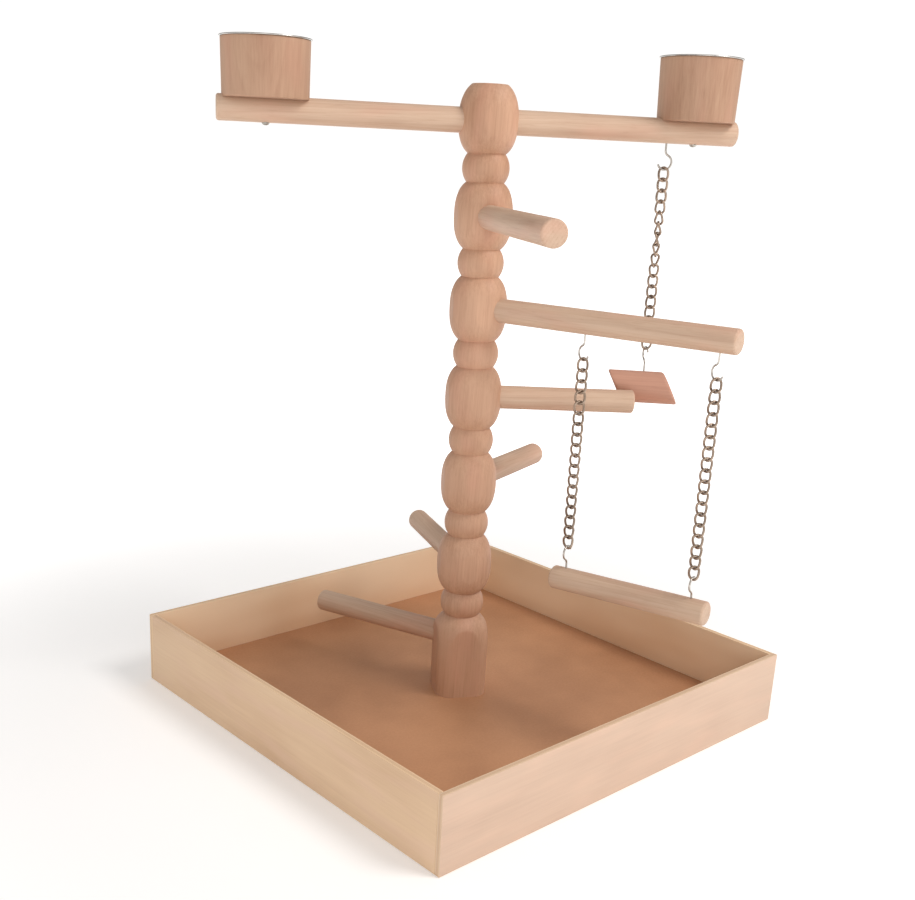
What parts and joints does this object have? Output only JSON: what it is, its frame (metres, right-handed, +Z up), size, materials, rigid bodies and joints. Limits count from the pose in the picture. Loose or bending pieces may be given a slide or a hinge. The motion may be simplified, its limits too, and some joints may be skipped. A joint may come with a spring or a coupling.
{
  "type": "bird play stand",
  "caption": "Tabletop wooden play stand for small birds: turned post in a square sand tray, dowel perches in a spiral, two feeding cups on a crossbar, chain swing and hanging chew block.",
  "frame": {"origin": "on the post's axis, in the plane of the tray's underside", "axes": "+Z up along the post; X and Y along the tray's sides; the swing's perch reaches towards -Y"},
  "size_m": [0.41, 0.4329, 0.57],
  "materials": {
    "tray_wood": "bare sanded plywood, pale",
    "tray_board": "bare brown fibreboard",
    "turned_wood": "bare turned softwood, sanded",
    "dowel_wood": "bare birch dowel, sanded",
    "cup_wood": "bare turned wood, upright grain",
    "block_wood": "bare sawn dowel",
    "bowl_steel": "pressed stainless sheet",
    "wire_steel": "plated wire",
    "chain_steel": "plated, dulled",
    "fastener_steel": "zinc plated"
  },
  "bodies": {
    "stand": {"tray_front": "tray_wood", "tray_back": "tray_wood", "tray_left": "tray_wood", "tray_right": "tray_wood", "tray_board": "tray_board", "tray_nails": "fastener_steel", "corner_nails": "fastener_steel", "post": "turned_wood", "post_screw": "fastener_steel", "post_washer": "fastener_steel", "crossbar": "dowel_wood", "perch_upper": "dowel_wood", "perch_swing": "dowel_wood", "perch_toy_side": "dowel_wood", "perch_rear_right": "dowel_wood", "perch_rear": "dowel_wood", "perch_low": "dowel_wood", "dowel_screws": "fastener_steel", "cup_left": "cup_wood", "cup_right": "cup_wood", "cup_screws": "fastener_steel", "crossbar_hook": "wire_steel", "swing_hook_inner": "wire_steel", "swing_hook_outer": "wire_steel"},
    "bowl_left": {"bowl_left": "bowl_steel"},
    "bowl_right": {"bowl_right": "bowl_steel"},
    "swing_links": {"swing_top_links": "chain_steel"},
    "swing_chain_inner": {"swing_chain_inner": "chain_steel"},
    "swing_chain_outer": {"swing_chain_outer": "chain_steel"},
    "swing_bar": {"swing_bar": "dowel_wood", "swing_bar_hook_inner": "wire_steel", "swing_bar_hook_outer": "wire_steel"},
    "toy_link": {"toy_top_link": "chain_steel"},
    "toy_chain": {"toy_chain": "chain_steel"},
    "toy": {"toy_block": "block_wood", "toy_hook": "wire_steel"}
  },
  "joints": [
    {"name": "bowl_left_lift", "type": "slide", "parent": "stand", "child": "bowl_left", "axis": [0, 0, 1], "range_m": [0, 0.06]},
    {"name": "bowl_right_lift", "type": "slide", "parent": "stand", "child": "bowl_right", "axis": [0, 0, 1], "range_m": [0, 0.06]},
    {"name": "swing_fore_aft", "type": "hinge", "parent": "stand", "child": "swing_links", "pos_m": [0.02328, -0.10085, 0.3323], "axis": [0.225, -0.9744, 0], "range_deg": [-40, 40]},
    {"name": "swing_sway", "type": "hinge", "parent": "swing_links", "child": "swing_chain_inner", "pos_m": [0.02328, -0.10085, 0.32313], "axis": [0.9744, 0.225, 0], "range_deg": [-18, 18]},
    {"name": "swing_sway_outer", "type": "hinge", "parent": "swing_links", "child": "swing_chain_outer", "pos_m": [0.04893, -0.21193, 0.32313], "axis": [0.9744, 0.225, 0], "range_deg": [-18, 18]},
    {"name": "swing_bar_level", "type": "hinge", "parent": "swing_chain_inner", "child": "swing_bar", "pos_m": [0.02328, -0.10085, 0.1746], "axis": [0.9744, 0.225, 0], "range_deg": [-18, 18]},
    {"name": "toy_across", "type": "hinge", "parent": "stand", "child": "toy_link", "pos_m": [0.13226, -0.07791, 0.4811], "axis": [0.8616, -0.5075, 0], "range_deg": [-0.5, 35]},
    {"name": "toy_along", "type": "hinge", "parent": "toy_link", "child": "toy_chain", "pos_m": [0.13226, -0.07791, 0.47193], "axis": [0.5075, 0.8616, 0], "range_deg": [-25, 2]},
    {"name": "toy_rock", "type": "hinge", "parent": "toy_chain", "child": "toy", "pos_m": [0.13226, -0.07791, 0.33225], "axis": [0.8616, -0.5075, 0], "range_deg": [-2, 25]}
  ],
  "couplings": [
    {"joint": "swing_sway_outer", "follows": "swing_sway", "ratio": 1},
    {"joint": "swing_bar_level", "follows": "swing_sway", "ratio": -1}
  ]
}
